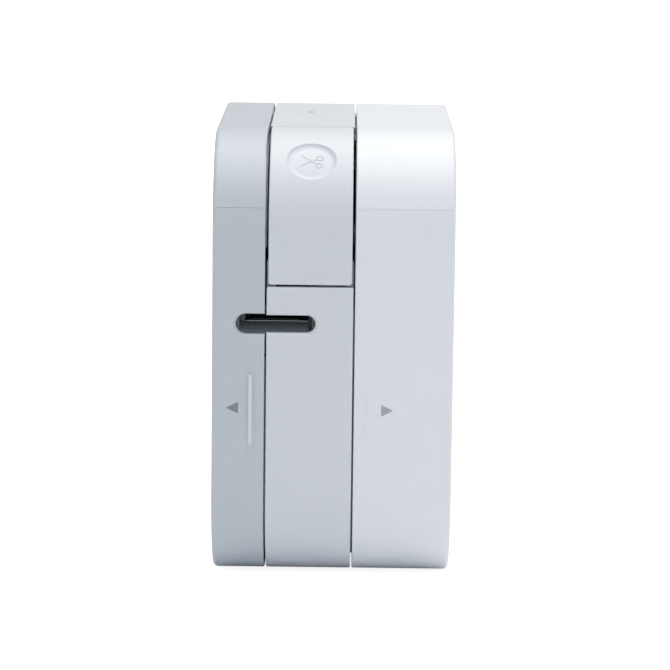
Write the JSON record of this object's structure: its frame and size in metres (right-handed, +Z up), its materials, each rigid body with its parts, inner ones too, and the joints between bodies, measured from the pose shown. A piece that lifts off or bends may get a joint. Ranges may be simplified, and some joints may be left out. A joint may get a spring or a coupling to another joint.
{
  "type": "label maker",
  "caption": "Palm-size desktop label maker: rounded square body between two pull-off covers, cutter lever across the front top corner, tape exit slot, cassette, battery pack.",
  "frame": {"origin": "on the ground under the middle of the whole box", "axes": "+X across the thickness towards the battery cover, -Y out of the tape exit, +Z up"},
  "size_m": [0.061, 0.115, 0.115],
  "materials": {
    "white_shell": "fine satin",
    "white_button": "satin",
    "dark_plastic": "matte",
    "grey_plastic": "matte",
    "gear_nylon": "semi-matte",
    "clear_case": "satin",
    "steel": "brushed",
    "bright_steel": "ground",
    "nickel": "plated",
    "rubber": "matte",
    "board": "solder mask",
    "chip": "matte",
    "ceramic": "glazed",
    "cell_sleeve": "printed foil",
    "tape_white": "satin",
    "film": "clear film, wound",
    "ribbon": "wound ink ribbon",
    "lens": "frosted",
    "switch": "satin"
  },
  "bodies": {
    "chassis": {"main_body": "white_shell", "led_lens": "lens", "gear_axles": "steel", "gear_plate": "steel", "motor": "steel", "lever_pin": "steel", "fixed_blade": "bright_steel", "cutter_guide": "grey_plastic", "lever_spring": "nickel", "head_spring": "nickel", "head_pin": "steel", "cassette_case": "clear_case", "cassette_lid": "clear_case", "label_tape": "tape_white", "battery_tray": "white_shell", "battery_contacts": "nickel", "battery_springs": "nickel", "main_board": "board", "board_chips": "chip", "wireless_module": "board", "dc_inlet": "dark_plastic", "inlet_pin": "nickel", "switch_board": "board", "tact_switch": "switch", "tray_screws": "nickel", "plate_screws": "nickel", "board_screws": "nickel", "battery_1": "cell_sleeve", "battery_2": "cell_sleeve", "battery_3": "cell_sleeve", "battery_4": "cell_sleeve", "battery_5": "cell_sleeve", "battery_6": "cell_sleeve"},
    "cassette_cover": {"cassette_cover": "white_shell"},
    "battery_cover": {"battery_cover": "white_shell"},
    "cutter_lever": {"cutter_lever": "white_shell"},
    "blade_slide": {"blade_carrier": "grey_plastic", "moving_blade": "bright_steel"},
    "power_button": {"power_button": "white_button"},
    "motor_pinion": {"motor_pinion": "nickel"},
    "first_gear": {"first_gear": "gear_nylon"},
    "second_gear": {"second_gear": "gear_nylon"},
    "platen": {"platen_shaft": "gear_nylon", "platen_roller": "rubber"},
    "take_up": {"take_up_spindle": "gear_nylon", "ribbon_take_up": "ribbon"},
    "tape_roll": {"tape_roll": "tape_white"},
    "film_roll": {"film_roll": "film"},
    "ribbon_supply": {"ribbon_supply": "ribbon"},
    "print_head": {"head_bracket": "steel", "print_head": "ceramic"}
  },
  "joints": [
    {"name": "cassette_cover_pull", "type": "slide", "parent": "chassis", "child": "cassette_cover", "axis": [-1, 0, 0], "range_m": [0, 0.04]},
    {"name": "battery_cover_pull", "type": "slide", "parent": "chassis", "child": "battery_cover", "axis": [1, 0, 0], "range_m": [0, 0.05]},
    {"name": "lever_press", "type": "hinge", "parent": "chassis", "child": "cutter_lever", "pos_m": [0, -0.0522, 0.0805], "axis": [-1, 0, 0], "range_deg": [0, 9], "stiffness_Nm_per_rad": 0.35, "springref_deg": -14.32},
    {"name": "blade_stroke", "type": "slide", "parent": "chassis", "child": "blade_slide", "axis": [0, 0, -1], "range_m": [0, 0.0026]},
    {"name": "power_button_press", "type": "slide", "parent": "chassis", "child": "power_button", "axis": [0, 0, -1], "range_m": [0, 0.0006], "stiffness_N_per_m": 600, "springref_m": -0.0006},
    {"name": "take_up_turn", "type": "hinge", "parent": "chassis", "child": "take_up", "pos_m": [0, -0.0215, 0.0578], "axis": [1, 0, 0], "continuous": true},
    {"name": "second_gear_turn", "type": "hinge", "parent": "chassis", "child": "second_gear", "pos_m": [0, -0.02859, 0.0668], "axis": [1, 0, 0], "continuous": true},
    {"name": "platen_turn", "type": "hinge", "parent": "chassis", "child": "platen", "pos_m": [0, -0.037, 0.07268], "axis": [1, 0, 0], "continuous": true},
    {"name": "first_gear_turn", "type": "hinge", "parent": "chassis", "child": "first_gear", "pos_m": [0, -0.02106, 0.07985], "axis": [1, 0, 0], "continuous": true},
    {"name": "motor_turn", "type": "hinge", "parent": "chassis", "child": "motor_pinion", "pos_m": [0, -0.00564, 0.08257], "axis": [1, 0, 0], "continuous": true},
    {"name": "tape_roll_turn", "type": "hinge", "parent": "chassis", "child": "tape_roll", "pos_m": [0, 0.007, 0.04], "axis": [1, 0, 0], "continuous": true},
    {"name": "film_roll_turn", "type": "hinge", "parent": "chassis", "child": "film_roll", "pos_m": [0, -0.0245, 0.0405], "axis": [1, 0, 0], "continuous": true},
    {"name": "ribbon_supply_turn", "type": "hinge", "parent": "chassis", "child": "ribbon_supply", "pos_m": [0, -0.0315, 0.026], "axis": [1, 0, 0], "continuous": true},
    {"name": "head_release", "type": "hinge", "parent": "chassis", "child": "print_head", "pos_m": [0, -0.0332, 0.0602], "axis": [1, 0, 0], "range_deg": [0, 6], "stiffness_Nm_per_rad": 0.02, "springref_deg": -28.65, "deforming": ["head_spring"]}
  ],
  "couplings": [
    {"joint": "blade_stroke", "follows": "lever_press", "m_per_rad": 0.014},
    {"joint": "second_gear_turn", "follows": "take_up_turn", "ratio": -1.7143},
    {"joint": "platen_turn", "follows": "take_up_turn", "ratio": 1.2},
    {"joint": "first_gear_turn", "follows": "take_up_turn", "ratio": 4.4082},
    {"joint": "motor_turn", "follows": "take_up_turn", "ratio": -14.694},
    {"joint": "tape_roll_turn", "follows": "take_up_turn", "ratio": -0.26342},
    {"joint": "film_roll_turn", "follows": "take_up_turn", "ratio": -0.63529},
    {"joint": "ribbon_supply_turn", "follows": "take_up_turn", "ratio": -0.77143}
  ]
}
